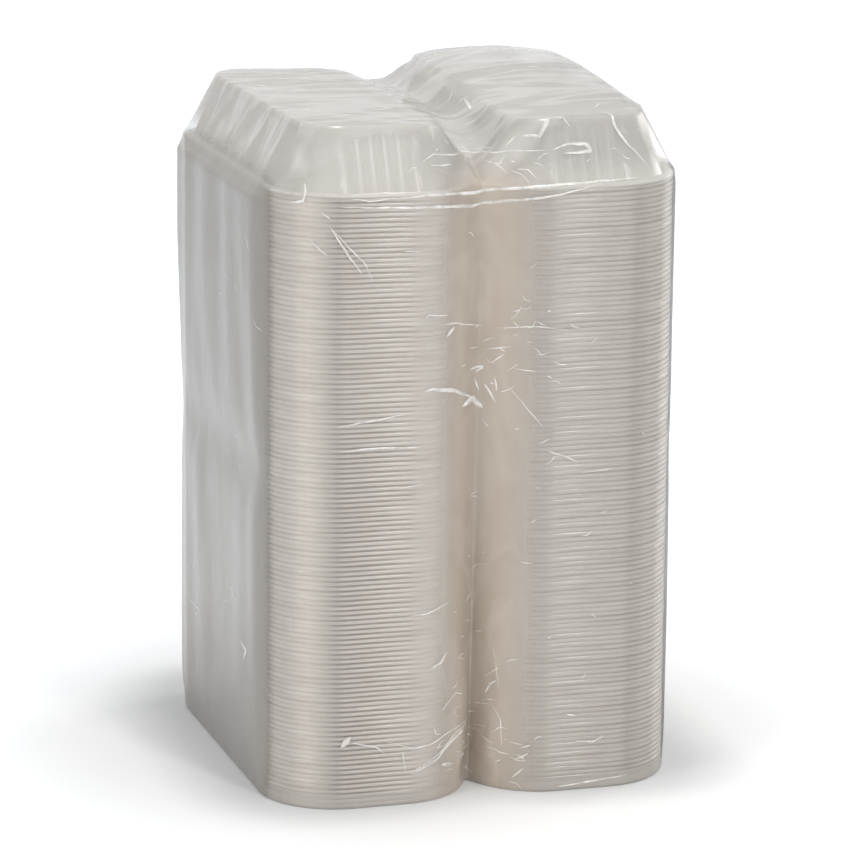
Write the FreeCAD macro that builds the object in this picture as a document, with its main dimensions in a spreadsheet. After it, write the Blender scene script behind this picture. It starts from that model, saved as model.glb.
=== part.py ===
import FreeCAD, Part
import math
import os

# A sleeve of thin clear food containers in one film bag. Each container is a hinged clamshell, moulded
# as one sheet and still opened flat: a tray half and a lid half joined along a living hinge. They stand
# upside down and nested, so only the top one shows its two raised forms, and the others show as rims.
# Origin: middle of the underside. X runs across the two halves, Y along the hinge, Z up. Millimetres.

doc = FreeCAD.newDocument("clamshell_pack")
sheet = doc.addObject("Spreadsheet::Sheet", "Sizes")

DRIVING = [
    ("half_width", 130.0, "one half across, from the hinge to the outer rim"),
    ("half_depth", 276.0, "one half along the hinge"),
    ("corner_radius", 48.0, "rim corner, seen from above"),
    ("hinge_width", 2.0, "living hinge between the two rims"),
    ("sheet_thickness", 0.35, "moulded sheet"),
    ("rim_ledge", 6.0, "flat ledge between the rim's edge and the wall"),
    ("tray_rise", 38.0, "from the ledge to the flat base of the form"),
    ("wall_run", 16.0, "how far the wall leans in over its rise"),
    ("panel_inset", 9.0, "from the edge of the base to its sunk panel"),
    ("panel_sink", 1.6, "depth of the sunk panel"),
    ("rib_pitch", 8.5, "stiffening ribs on the short walls"),
    ("long_rib_pitch", 20.0, "stiffening ribs on the long walls"),
    ("rib_width", 4.4, "one rib at its foot"),
    ("rib_height", 1.1, "how far a rib stands out of the wall"),
    ("rim_pitch", 3.05, "height that each nested container adds"),
    ("rim_relief", 1.3, "how far the gap between two rims goes in"),
    ("container_count", 125, "containers in the sleeve"),
    ("bundle_size", 24, "nested containers drawn as one solid"),
    ("film_thickness", 0.3, "bag film, drawn thicker than the real 0.03"),
    ("film_clearance", 0.6, "from the rims and the top form to the film"),
    ("web_drop_low", 36.0, "how deep the bag follows the middle gap at the floor"),
    ("web_drop_high", 16.0, "the same at the top rim, where the film is tight"),
    ("pleat_depth", 3.0, "pleats that gather the film in the gap at the floor"),
    ("fold_height", 2.4, "soft upright folds on the end faces"),
    ("pinch_height", 205.0, "where a tight band draws the folds flat"),
    ("saddle_drop", 7.0, "how far the film sags between the two forms"),
    ("saddle_front", 62.0, "from the middle to where the saddle comes down to the front"),
    ("saddle_back", 108.0, "the same at the back, where the film is tight"),
    ("puff_height", 15.0, "how far air lifts the film over the lid form"),
    ("puff_reach", 8.0, "how far the lifted film stands out past the form, at the back"),
]
for row, (alias, value, meaning) in enumerate(DRIVING, 1):
    sheet.set(f"A{row}", meaning)
    sheet.set(f"B{row}", str(value))
    sheet.setAlias(f"B{row}", alias)
doc.recompute()


def size(alias):
    """A driving dimension, read from the sheet."""
    return float(sheet.get(alias))


RIM_FACETS = 4  # flats in each quarter turn of the rims and the bag
FORM_FACETS = 4  # the same on the top container's forms
HIDDEN_FACETS = 2  # the same on the forms inside the nest
RIMS_PER_RIDGE = 3  # a ridge on the nest's side stands for the rims of three containers
FOLDS = 5  # upright folds on each end face of the bag
SADDLE_PARTS = 3  # even parts of the saddle's level stretch

centre_x = (size("hinge_width") + size("half_width")) / 2
reach_x = size("half_width") / 2 - size("corner_radius")
reach_y = size("half_depth") / 2 - size("corner_radius")
wall_lean = size("wall_run") / size("tray_rise")
base_inset = size("rim_ledge") + size("wall_run")
ledge_rise = size("rim_pitch") / 2  # a container's ledge over the face that it stands on
nested_count = int(size("container_count")) - 1
nest_base = size("film_thickness")
nest_top = nest_base + nested_count * size("rim_pitch")
top_ledge = nest_top + ledge_rise
top_base = top_ledge + size("tray_rise")

# Outlines. Each is a list of (x, y) points, counterclockwise.


def quarter(centre, radius, first_degree, facets):
    """Points of a quarter turn that starts at first_degree."""
    points = []
    for step in range(facets + 1):
        angle = math.radians(first_degree + 90 * step / facets)
        points.append((centre[0] + radius * math.cos(angle), centre[1] + radius * math.sin(angle)))
    return points


def drawn_in(outline, inset):
    """The outline with every side moved in by inset, so that the sides stay parallel."""
    points = []
    for index, (x, y) in enumerate(outline):
        before, after = outline[index - 1], outline[(index + 1) % len(outline)]
        normals = []
        for start, end in ((before, (x, y)), ((x, y), after)):
            length = math.dist(start, end)
            normals.append(((start[1] - end[1]) / length, (end[0] - start[0]) / length))
        (ax, ay), (bx, by) = normals
        scale = inset / (1 + ax * bx + ay * by)
        points.append((x + (ax + bx) * scale, y + (ay + by) * scale))
    return points


def open_outline(inset):
    """The whole open container, both halves, drawn in by inset from its rim."""
    radius = size("corner_radius")
    near, far = centre_x - reach_x, centre_x + reach_x
    outline = (
        quarter((near, -reach_y), radius, 180, RIM_FACETS)
        + quarter((far, -reach_y), radius, 270, RIM_FACETS)
        + quarter((far, reach_y), radius, 0, RIM_FACETS)
        + quarter((near, reach_y), radius, 90, RIM_FACETS)
        + quarter((-near, reach_y), radius, 0, RIM_FACETS)
        + quarter((-far, reach_y), radius, 90, RIM_FACETS)
        + quarter((-far, -reach_y), radius, 180, RIM_FACETS)
        + quarter((-near, -reach_y), radius, 270, RIM_FACETS)
    )
    return drawn_in(outline, inset)


def rib_points(start, end, outward, pitch):
    """Ribs at an even pitch about the middle of a straight wall, as points from start to end."""
    length = math.dist(start, end)
    along = ((end[0] - start[0]) / length, (end[1] - start[1]) / length)
    ribs = int((length - size("rib_width")) / pitch) + 1
    first = (length - (ribs - 1) * pitch) / 2
    points = []
    for rib in range(ribs):
        for step, height in ((-0.5, 0.0), (0.0, size("rib_height")), (0.5, 0.0)):
            distance = first + rib * pitch + step * size("rib_width")
            x = start[0] + along[0] * distance + outward[0] * height
            y = start[1] + along[1] * distance + outward[1] * height
            points.append((x, y))
    return points


def form_outline(side, inset, facets, ribbed=False):
    """One half's raised form, drawn in by inset from the rim. side is 1 for +X and -1 for -X."""
    radius = size("corner_radius") - inset
    middle = side * centre_x
    long_pitch, short_pitch = size("long_rib_pitch"), size("rib_pitch")
    corners = [
        quarter((middle + reach_x, reach_y), radius, 0, facets),
        quarter((middle - reach_x, reach_y), radius, 90, facets),
        quarter((middle - reach_x, -reach_y), radius, 180, facets),
        quarter((middle + reach_x, -reach_y), radius, 270, facets),
    ]
    walls = (((0, 1), short_pitch), ((-1, 0), long_pitch), ((0, -1), short_pitch), ((1, 0), long_pitch))
    outline = []
    for index, (outward, pitch) in enumerate(walls):
        outline += corners[index]
        if ribbed:
            outline += rib_points(corners[index][-1], corners[(index + 1) % 4][0], outward, pitch)
    return outline


# Solids from outlines. Sides that run parallel from one outline to the next are flat faces.


def raised(outline, z):
    return [FreeCAD.Vector(x, y, z) for x, y in outline]


def band(lower, upper):
    """Flat faces between two loops with the same number of points."""
    count = len(lower)
    return [[lower[i], lower[(i + 1) % count], upper[(i + 1) % count], upper[i]] for i in range(count)]


def wire(points):
    return Part.makePolygon(points + points[:1])


def plate(rim, holes=()):
    """A level face with holes. Each outline is a raised loop."""
    return Part.makeFace([wire(rim)] + [wire(hole) for hole in holes], "Part::FaceMakerBullseye")


def closed_solid(faces):
    """A solid from flat faces that close on each other. A face may be given as its list of points."""
    shell = Part.makeShell([Part.Face(wire(face)) if isinstance(face, list) else face for face in faces])
    shell.sewShape()
    solid = Part.makeSolid(shell)
    if solid.Volume < 0:
        solid.reverse()
    return solid


def solid_item(label, faces):
    """A sub-part made of flat faces."""
    item = doc.addObject("Part::Feature", label)
    item.Label = label
    item.Shape = closed_solid(faces)
    return item


def form_loops(side, ledge_z, foot_z, facets, skin=0.0, ribbed=False):
    """Foot and base of a raised form whose ledge is at ledge_z. skin is the sheet, for the hollow beneath."""
    inset = skin * math.hypot(1, wall_lean)
    foot_inset = size("rim_ledge") + inset + wall_lean * (foot_z - ledge_z)
    wall_inset = base_inset + inset - wall_lean * skin
    foot = form_outline(side, foot_inset, facets, ribbed)
    base = form_outline(side, wall_inset, facets, ribbed)
    return raised(foot, foot_z), raised(base, ledge_z + size("tray_rise") - skin)


# The top container: one thin sheet with two ribbed forms, a ledge round each and a turned-down edge.


def sheet_side(edge, ledge_z, skin):
    """One side of the sheet, from its turned-down edge to the sunk panels. skin is 0 on the outer side."""
    faces = band(raised(edge, nest_top), raised(edge, ledge_z))
    feet = []
    for side in (-1, 1):
        foot, base = form_loops(side, top_ledge, ledge_z, FORM_FACETS, skin, ribbed=True)
        panel = form_outline(side, base_inset + size("panel_inset") - skin, FORM_FACETS)
        rim = raised(panel, base[0].z)
        floor = raised(panel, base[0].z - size("panel_sink"))
        faces += band(foot, base) + band(floor, rim) + [plate(base, [rim]), floor]
        feet.append(foot)
    return faces + [plate(raised(edge, ledge_z), feet)]


def top_container():
    skin = size("sheet_thickness")
    edge, inner_edge = open_outline(0), open_outline(skin)
    foot_ring = plate(raised(edge, nest_top), [raised(inner_edge, nest_top)])
    outer_side = sheet_side(edge, top_ledge, 0.0)
    return solid_item("top_container", outer_side + sheet_side(inner_edge, top_ledge - skin, skin) + [foot_ring])


# The nest: bundles of containers, one inside the next. A bundle's forms stand in the hollows of the next.


def nest_bundle(label, count):
    """A bundle of nested containers, standing on the film."""
    ridges = max(1, round(count / RIMS_PER_RIDGE))
    height = count * size("rim_pitch")
    top = nest_base + height
    valley, peak = open_outline(size("rim_relief")), open_outline(0)
    loops = [raised(valley, nest_base)]
    for ridge in range(ridges):
        loops.append(raised(peak, nest_base + (ridge + 0.5) * height / ridges))
        loops.append(raised(valley, nest_base + (ridge + 1) * height / ridges))
    faces, feet, mouths = [], [], []
    for lower, upper in zip(loops, loops[1:]):
        faces += band(lower, upper)
    for side in (-1, 1):
        foot, base = form_loops(side, top - ledge_rise, top, HIDDEN_FACETS)
        skin = size("sheet_thickness")
        mouth, roof = form_loops(side, nest_base + ledge_rise, nest_base, HIDDEN_FACETS, skin)
        faces += band(foot, base) + band(mouth, roof) + [base, roof]
        feet.append(foot)
        mouths.append(mouth)
    return solid_item(label, faces + [plate(loops[0], mouths), plate(loops[-1], feet)])


# The bag: film drawn over the rims, across the gap between the halves and over the top forms.


def blend(low, high, share):
    return low + (high - low) * share


def web_points(side, way, gap, height_share):
    """The bag beside the gap between the halves, from the middle of the web out to the flat front or back.

    side is the half, way is -1 at the front and 1 at the back, height_share is 0 at the floor and 1 at the
    top rim. The web follows the gap deepest at the floor, and its pleats gather there.
    """
    drop = blend(size("web_drop_low"), size("web_drop_high"), height_share)
    pleat = size("pleat_depth") * (1 - height_share)
    radius = size("corner_radius") + gap
    edge_y = size("half_depth") / 2 + gap
    turn = quarter((centre_x - reach_x, reach_y), radius, 90, RIM_FACETS)
    start = turn[RIM_FACETS // 2]
    points = [(0.0, edge_y - drop + pleat)]
    for share, height in ((2 / 3, 0.0), (1 / 3, pleat)):
        points.append((start[0] * (1 - share), blend(start[1], edge_y - drop, share) + height))
    points += reversed(turn[: RIM_FACETS // 2 + 1])
    return [(side * x, way * y) for x, y in points]


def end_points(side, gap, crest):
    """Soft upright folds down one end face, from front to back. crest is their height."""
    x = centre_x + size("half_width") / 2 + gap
    steps = 2 * FOLDS
    points = []
    for step in range(1, steps):
        points.append((side * (x + crest * (step % 2)), reach_y * (2 * step / steps - 1)))
    return points


def half_bag_outline(side, gap, height_share, crest):
    """The bag round one half, from the middle of the front web to the middle of the back web."""
    radius = size("corner_radius") + gap
    front = [(side * (centre_x + reach_x), -reach_y), (side * (centre_x + reach_x), reach_y)]
    if side > 0:
        corners = quarter(front[0], radius, 270, RIM_FACETS), quarter(front[1], radius, 0, RIM_FACETS)
    else:
        corners = (
            quarter(front[0], radius, 180, RIM_FACETS)[::-1],
            quarter(front[1], radius, 90, RIM_FACETS)[::-1],
        )
    return (
        web_points(side, -1, gap, height_share)
        + corners[0]
        + end_points(side, gap, crest)
        + corners[1]
        + web_points(side, 1, gap, height_share)[::-1]
    )


def bag_outline(gap, height_share, crest):
    """The whole bag, counterclockwise from the middle of the front web."""
    right = half_bag_outline(1, gap, height_share, crest)
    left = half_bag_outline(-1, gap, height_share, crest)
    return right + left[-2:0:-1]


def divided(outline, longest):
    """The outline with even points put into every side that is longer than longest."""
    points = []
    for index, start in enumerate(outline):
        end = outline[(index + 1) % len(outline)]
        steps = math.ceil(math.dist(start, end) / longest - 1e-6)
        for step in range(steps):
            points.append((blend(start[0], end[0], step / steps), blend(start[1], end[1], step / steps)))
    return points


def matched(outer, inner, side):
    """How two loops of different counts are stitched: where each starts, and which one steps on next.

    They are matched by angle about the form's middle, each in its own size, and alike on both halves.
    """
    middle = side * centre_x
    starts, turned = [], []
    for loop in (outer, inner):
        reach = max(abs(point.x - middle) for point in loop), max(abs(point.y) for point in loop)
        turns = [math.atan2(p.y / reach[1], (p.x - middle) / reach[0]) % (2 * math.pi) for p in loop]
        start = turns.index(min(turns))
        starts.append(start)
        turned.append(turns[start:] + turns[:start] + [2 * math.pi + turns[start]])
    out, into = turned
    outer_steps, i, j = [], 0, 0
    while i < len(out) - 1 or j < len(into) - 1:
        outer_next = out[i + 1] if i < len(out) - 1 else math.inf
        inner_next = into[j + 1] if j < len(into) - 1 else math.inf
        outer_steps.append(outer_next <= inner_next + 0.02 * side)
        if outer_steps[-1]:
            i += 1
        else:
            j += 1
    return starts, outer_steps


def stitched(outer, inner, match):
    """Triangles between two loops, as matched."""
    (i, j), outer_steps = match
    faces = []
    for outer_step in outer_steps:
        here, there = outer[i % len(outer)], inner[j % len(inner)]
        if outer_step:
            faces.append([here, outer[(i + 1) % len(outer)], there])
            i += 1
        else:
            faces.append([here, inner[(j + 1) % len(inner)], there])
            j += 1
    return faces


def puffed(base, rise, reach):
    """The loop of film round a form's base, lifted and pushed outwards by air, most at the back."""
    points = []
    for point in base:
        back = min(1.0, max(0.0, 0.5 + 1.5 * point.y / size("half_depth")))
        out = reach * back if point.x > centre_x else 0.0
        points.append(point + FreeCAD.Vector(out, 0, rise * back))
    return points


def crown_loops(side, gap, air):
    """The bag's loops over one form, from the rims and the saddle inwards, the last one round a flat or a peak.

    air is 0 for the film as it would lie without air under it, and 1 for the film as it is.
    """
    loop = raised(half_bag_outline(side, gap, 1, 0), top_ledge + gap)
    base_z = top_base + gap
    for step in range(SADDLE_PARTS + 1):
        y = blend(size("saddle_back"), -size("saddle_front"), step / SADDLE_PARTS)
        loop.append(FreeCAD.Vector(0, y, base_z - size("saddle_drop")))
    if side < 0:
        loop.reverse()
    contact = form_outline(side, base_inset - size("rib_height") - gap, FORM_FACETS)
    base = raised(divided(contact, size("half_depth") / FOLDS), base_z)
    if side < 0:
        return [loop, base]
    base = puffed(base, air * 0.4 * size("puff_height"), air * size("puff_reach"))
    inset = base_inset + 2 * size("panel_inset")
    crown = divided(form_outline(side, inset, HIDDEN_FACETS), size("half_depth") / FOLDS)
    lifted = puffed(raised(crown, base_z + air * 0.3 * size("puff_height")), air * 0.7 * size("puff_height"), 0)
    return [loop, base, lifted]


def bag_crown(side, gap):
    """The film over one form. Both sides of the film are stitched alike, so that they never cross."""
    loops = crown_loops(side, gap, 1)
    model = crown_loops(side, size("film_clearance"), 0)
    faces = []
    for step in range(len(loops) - 1):
        match = matched(model[step], model[step + 1], side)
        faces += stitched(loops[step], loops[step + 1], match)
    last = loops[-1]
    if side < 0:
        return faces + [last]
    middle = FreeCAD.Vector(side * centre_x, 0, top_base + gap + size("puff_height"))
    return faces + [[start, end, middle] for start, end in zip(last, last[1:] + last[:1])]


def bag_solid(gap, floor):
    """The bag as a filled solid that keeps gap from the containers."""
    shoulder = top_ledge + gap
    pinch = size("pinch_height")
    crest = size("fold_height")
    levels = (
        (floor, 0.3 * crest),
        (pinch / 2, crest),
        (pinch, 0.0),
        (blend(pinch, shoulder, 0.5), crest),
        (shoulder, 0.0),
    )
    loops = [raised(bag_outline(gap, z / shoulder, height), z) for z, height in levels]
    faces = [loops[0]]
    for lower, upper in zip(loops, loops[1:]):
        for low_a, low_b, high_b, high_a in band(lower, upper):
            faces += [[low_a, low_b, high_b], [low_a, high_b, high_a]]
    return closed_solid(faces + bag_crown(1, gap) + bag_crown(-1, gap))


def film_bag():
    outside = doc.addObject("Part::Feature", "bag_outside")
    outside.Shape = bag_solid(size("film_clearance") + size("film_thickness"), 0.0)
    inside = doc.addObject("Part::Feature", "bag_inside")
    inside.Shape = bag_solid(size("film_clearance"), size("film_thickness"))
    bag = doc.addObject("Part::Cut", "film_bag")
    bag.Label = "film_bag"
    bag.Base = outside
    bag.Tool = inside
    return bag


subparts = [film_bag(), top_container()]
first_of_size = {}
placed = 0
while placed < nested_count:
    count = min(int(size("bundle_size")), nested_count - placed)
    label = f"nested_containers_{len(subparts) - 1}"
    if count not in first_of_size:
        first_of_size[count] = nest_bundle(label, count)
        piece = first_of_size[count]
    else:
        piece = doc.addObject("Part::Feature", label)
        piece.Label = label
        piece.Shape = first_of_size[count].Shape.copy()
    piece.setExpression("Placement.Base.z", f"{placed} * Sizes.rim_pitch")
    subparts.append(piece)
    placed += count
doc.recompute()

for item in doc.Objects:
    if "Invalid" in item.State or "Error" in item.State:
        raise RuntimeError(f"{item.Label} failed: {item.State}")
for item in subparts:
    if item.Shape.isNull() or not item.Shape.isValid() or len(item.Shape.Solids) != 1:
        raise RuntimeError(f"{item.Label} is not one sound solid")

os.makedirs("parts", exist_ok=True)
for item in subparts:
    item.Shape.exportStep(f"parts/{item.Label}.step")
    print(item.Label, round(item.Shape.Volume / 1000, 1), "cm3")
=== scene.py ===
import math
import random
import bpy
import bmesh
from mathutils import Matrix, Vector, noise
from mathutils.bvhtree import BVHTree
from mathutils.geometry import tessellate_polygon


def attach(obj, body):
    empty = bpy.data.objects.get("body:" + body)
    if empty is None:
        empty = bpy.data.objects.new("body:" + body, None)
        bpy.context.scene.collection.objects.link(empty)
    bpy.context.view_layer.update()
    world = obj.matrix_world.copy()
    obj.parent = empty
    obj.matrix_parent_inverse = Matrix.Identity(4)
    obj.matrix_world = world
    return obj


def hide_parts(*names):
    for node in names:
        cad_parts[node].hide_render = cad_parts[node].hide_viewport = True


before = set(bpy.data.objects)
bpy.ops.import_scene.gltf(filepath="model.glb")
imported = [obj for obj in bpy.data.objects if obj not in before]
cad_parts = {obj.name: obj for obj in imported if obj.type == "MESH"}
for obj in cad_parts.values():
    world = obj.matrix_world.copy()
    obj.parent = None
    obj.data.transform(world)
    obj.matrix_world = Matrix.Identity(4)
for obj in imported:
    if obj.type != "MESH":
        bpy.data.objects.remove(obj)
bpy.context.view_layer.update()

# The view. The pack stands on a white sweep in soft studio light, seen from its front left and a
# little above, through a long lens.
VIEW_TURN = math.radians(17.13)
VIEW_DROP = math.radians(13.22)
VIEW_ROLL = 0.0088
VIEW_DISTANCE = 2.775
VIEW_LENS = 184.3
VIEW_AIM = Vector((0.0026, 0.0, 0.2055))

look = Vector((
    math.sin(VIEW_TURN) * math.cos(VIEW_DROP),
    math.cos(VIEW_TURN) * math.cos(VIEW_DROP),
    -math.sin(VIEW_DROP),
))
level_right = Vector((math.cos(VIEW_TURN), -math.sin(VIEW_TURN), 0.0))
level_up = level_right.cross(look)
camera_right = math.cos(VIEW_ROLL) * level_right + math.sin(VIEW_ROLL) * level_up
camera_up = math.cos(VIEW_ROLL) * level_up - math.sin(VIEW_ROLL) * level_right
camera_data = bpy.data.cameras.new("camera")
camera_data.sensor_width = 36.0
camera_data.lens = VIEW_LENS
camera_data.clip_end = 20.0
camera = bpy.data.objects.new("camera", camera_data)
camera.matrix_world = Matrix.Translation(VIEW_AIM - VIEW_DISTANCE * look) @ Matrix(
    (camera_right, camera_up, -look)
).transposed().to_4x4()
bpy.context.scene.collection.objects.link(camera)
bpy.context.scene.camera = camera
bpy.context.scene.view_settings.view_transform = "Standard"

# The stage. A wide white sweep under the pack. It stays white to the camera, keeps the soft shadow
# at the pack's foot, and is plain white to the film's reflections.
# Its glow to the camera and in reflections is painted light: weak near the pack and strong away from it, it
# whitens the floor and washes out its shadows away from the pack.
POOL_NEAR, POOL_FAR = 0.15, 0.5  # metres from the middle, where the floor turns from shade to white
POOL_SHADE, POOL_WHITE = 0.12, 0.80
STUDIO_LIGHT = 0.36
SWEEP_WHITE, SWEEP_GLOW = (0.86, 0.86, 0.865, 1), (0.86, 0.93, 1.0, 1)

floor_mesh = bpy.data.meshes.new("floor")
floor_mesh.from_pydata([(-4, -4, 0), (4, -4, 0), (4, 4, 0), (-4, 4, 0)], [], [(0, 1, 2, 3)])
floor = bpy.data.objects.new("floor", floor_mesh)
bpy.context.scene.collection.objects.link(floor)
floor_paint = bpy.data.materials.new("white_sweep")
floor_paint.use_nodes = True
tree = floor_paint.node_tree
surface = tree.nodes["Principled BSDF"]
surface.inputs["Base Color"].default_value = SWEEP_WHITE
surface.inputs["Roughness"].default_value = 0.9
surface.inputs["Emission Color"].default_value = SWEEP_GLOW
spot = tree.nodes.new("ShaderNodeTexCoord")
away = tree.nodes.new("ShaderNodeVectorMath")
away.operation = "LENGTH"
pool = tree.nodes.new("ShaderNodeMapRange")
pool.interpolation_type = "SMOOTHSTEP"
pool.inputs["From Min"].default_value = POOL_NEAR
pool.inputs["From Max"].default_value = POOL_FAR
pool.inputs["To Min"].default_value = POOL_SHADE
pool.inputs["To Max"].default_value = POOL_WHITE
tree.links.new(spot.outputs["Object"], away.inputs[0])
tree.links.new(away.outputs["Value"], pool.inputs["Value"])
path = tree.nodes.new("ShaderNodeLightPath")
seen = tree.nodes.new("ShaderNodeMath")
seen.operation = "MAXIMUM"
seen_lift = tree.nodes.new("ShaderNodeMath")
seen_lift.operation = "MULTIPLY"
tree.links.new(path.outputs["Is Camera Ray"], seen.inputs[0])
tree.links.new(path.outputs["Is Glossy Ray"], seen.inputs[1])
tree.links.new(seen.outputs[0], seen_lift.inputs[0])
tree.links.new(pool.outputs["Result"], seen_lift.inputs[1])
tree.links.new(seen_lift.outputs[0], surface.inputs["Emission Strength"])
floor_mesh.materials.append(floor_paint)

world = bpy.data.worlds.new("studio")
world.use_nodes = True
bpy.context.scene.world = world
tree = world.node_tree
air = tree.nodes["Background"]
path = tree.nodes.new("ShaderNodeLightPath")
seen = tree.nodes.new("ShaderNodeMath")
seen.operation = "MAXIMUM"
seen_all = tree.nodes.new("ShaderNodeMath")
seen_all.operation = "MAXIMUM"
strength = tree.nodes.new("ShaderNodeMapRange")
strength.inputs["To Min"].default_value = STUDIO_LIGHT
strength.inputs["To Max"].default_value = 1.0
tree.links.new(path.outputs["Is Camera Ray"], seen.inputs[0])
tree.links.new(path.outputs["Is Glossy Ray"], seen.inputs[1])
tree.links.new(seen.outputs[0], seen_all.inputs[0])
tree.links.new(path.outputs["Is Transmission Ray"], seen_all.inputs[1])
tree.links.new(seen_all.outputs[0], strength.inputs["Value"])
tree.links.new(strength.outputs["Result"], air.inputs["Strength"])
air.inputs["Color"].default_value = (1.0, 1.0, 1.0, 1)


def softbox(name, degrees, distance, height, size, watts, tint):
    """A soft rectangular lamp at that bearing, 0 in front and 90 on the right, aimed at the pack."""
    bearing = math.radians(degrees)
    lamp = bpy.data.lights.new(name, "AREA")
    lamp.shape = "RECTANGLE"
    lamp.size, lamp.size_y = size
    lamp.energy = watts
    lamp.color = tint
    holder = bpy.data.objects.new(name, lamp)
    holder.location = (distance * math.sin(bearing), -distance * math.cos(bearing), height)
    aim = Vector((0, 0, 0.2)) - holder.location
    holder.rotation_mode = "QUATERNION"
    holder.rotation_quaternion = aim.to_track_quat("-Z", "Y")
    bpy.context.scene.collection.objects.link(holder)


# One lamp at each side, a tall strip and a wide fill in front, and a small lamp above.
WARM, WARMER = (1.0, 0.985, 0.96), (1.0, 0.98, 0.95)
softbox("left_box", -60, 1.7, 0.75, (0.65, 0.5), 6.5, WARM)
softbox("right_box", 112, 1.7, 0.7, (0.65, 0.5), 7, WARM)
softbox("front_strip", 14, 2.3, 1.2, (0.35, 1.2), 16, WARMER)
softbox("front_fill", 36, 2.4, 0.9, (1.6, 1.2), 4, WARM)
softbox("top_box", -20, 0.06, 1.9, (0.2, 0.16), 11, WARMER)

# The nested containers, 124 of them. Each is one sheet of thin clear plastic, moulded into two halves
# with a living hinge between them, and it lies upside down on the next. Only the edge of its rim
# shows: a rounded lip over the shadow between it and the next, partly real shade and partly painted.
MM = 0.001
HALF_WIDTH, HALF_DEPTH = 130 * MM, 276 * MM
CORNER = 48 * MM
HINGE = 2 * MM
PITCH = 3.05 * MM
RISE, WALL_RUN, LEDGE = 38 * MM, 16 * MM, 6 * MM
SHEET = 0.35 * MM
FILM_UNDER = 0.3 * MM
NESTED = 124
BUNDLE = 24
COLUMN_X = (HINGE + HALF_WIDTH) / 2
REACH_X = HALF_WIDTH / 2 - CORNER
REACH_Y = HALF_DEPTH / 2 - CORNER
NEST_TOP = FILM_UNDER + NESTED * PITCH
FAN = 0.0186  # the columns lean apart a little, so each rim rises towards its outer end
CORNER_STEPS = 13
COARSE_STEPS = (18, 46, 12)  # points along a short wall, along a long one and round a corner
SHORT_RIBS = (8.5 * MM, 25.5 * MM, 2.7 * MM)  # pitch, the last one's place, half a rib's width
LONG_RIBS = (20 * MM, 80 * MM, 3.6 * MM)


def fanned(x, z):
    """How far up a point is, with the lean of the columns."""
    return z + FAN * abs(x) * z / NEST_TOP


def arc(x, y, radius, first, last, steps):
    """Points of an arc from first to last degrees, without its last point."""
    turns = [math.radians(first + (last - first) * step / steps) for step in range(steps)]
    return [(x + radius * math.cos(turn), y + radius * math.sin(turn)) for turn in turns]


def rim_loop(inset):
    """The open container seen from above, both halves, drawn in from its rim."""
    near, far = COLUMN_X - REACH_X, COLUMN_X + REACH_X
    radius = CORNER - inset
    loop = []
    for side in (1, -1):
        turn = 0 if side > 0 else 180
        loop += arc(side * near, -side * REACH_Y, radius, 180 + turn, 270 + turn, CORNER_STEPS)
        loop += arc(side * far, -side * REACH_Y, radius, 270 + turn, 360 + turn, CORNER_STEPS)
        loop += arc(side * far, side * REACH_Y, radius, turn, 90 + turn, CORNER_STEPS)
        loop += arc(side * near, side * REACH_Y, radius, 90 + turn, 180 + turn, CORNER_STEPS)
        loop.append((side * (near - radius), side * REACH_Y))
    return loop


def rib(distance, pitch, last, width):
    """Height share of rounded ribs at an even pitch, out to last from the wall's middle."""
    nearest = round(distance / pitch) * pitch
    if abs(nearest) > last + 1e-6:
        return 0.0
    across = abs(distance - nearest) / width
    return 0.5 + 0.5 * math.cos(math.pi * across) if across < 1 else 0.0


def half_loop(side, inset, rib_height, short_steps=36, long_steps=92, bend_steps=22):
    """One half's outline drawn in by inset, with its ribs standing out."""
    radius = CORNER - inset
    loop = []
    for turn in range(4):
        short = turn % 2 == 0
        reach = REACH_X if short else REACH_Y
        out = (REACH_Y if short else REACH_X) + radius
        steps = short_steps if short else long_steps
        places = []
        for step in range(bend_steps // 2):
            bend = math.radians(45 * (1 - step / (bend_steps // 2)))
            places.append((-reach - radius * math.sin(bend), out - radius * (1 - math.cos(bend)), -bend))
        for step in range(steps):
            places.append((-reach + 2 * reach * step / steps, out, 0.0))
        for step in range(bend_steps // 2):
            bend = math.radians(45 * step / (bend_steps // 2))
            places.append((reach + radius * math.sin(bend), out - radius * (1 - math.cos(bend)), bend))
        for x, y, bend in places:
            run = max(-reach, min(reach, x)) + bend * radius
            if short:
                lift = 1.3 * rib(run, *SHORT_RIBS)
            else:
                lift = rib(run, *LONG_RIBS)
            x += lift * rib_height * math.sin(bend)
            y += lift * rib_height * math.cos(bend)
            for quarter_turn in range(turn):
                x, y = y, -x
            loop.append((side * COLUMN_X + x, y))
    return loop


def mesh_piece(name, verts, faces, smooth_degrees):
    """A mesh object from points and faces, with its outside turned outwards."""
    mesh = bpy.data.meshes.new(name)
    mesh.from_pydata(verts, [], faces)
    work = bmesh.new()
    work.from_mesh(mesh)
    bmesh.ops.recalc_face_normals(work, faces=work.faces)
    work.to_mesh(mesh)
    work.free()
    piece = bpy.data.objects.new(name, mesh)
    bpy.context.scene.collection.objects.link(piece)
    mesh.shade_smooth()
    mesh.set_sharp_from_angle(angle=math.radians(smooth_degrees))
    return piece


def joined(faces, lower, upper, count):
    """Adds the faces between two loops of count points, given by their first points."""
    for index in range(count):
        after = (index + 1) % count
        faces.append((lower + index, lower + after, upper + after, upper + index))


def ledge(verts, faces, rim, holes, count, hole_count):
    """Adds a level face between a rim's loop and the loops of two forms in it."""
    loops = [list(range(rim, rim + count))]
    loops += [list(range(hole, hole + hole_count)) for hole in holes]
    order = [index for loop in loops for index in loop]
    flat = [[Vector((verts[index][0], verts[index][1], 0)) for index in loop] for loop in loops]
    for corners in tessellate_polygon(flat):
        faces.append(tuple(order[corner] for corner in corners))


def smooth(low, high, value):
    """A soft step from 0 to 1 as the value goes from low to high."""
    share = max(0.0, min(1.0, (value - low) / (high - low)))
    return share * share * (3 - 2 * share)


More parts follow.
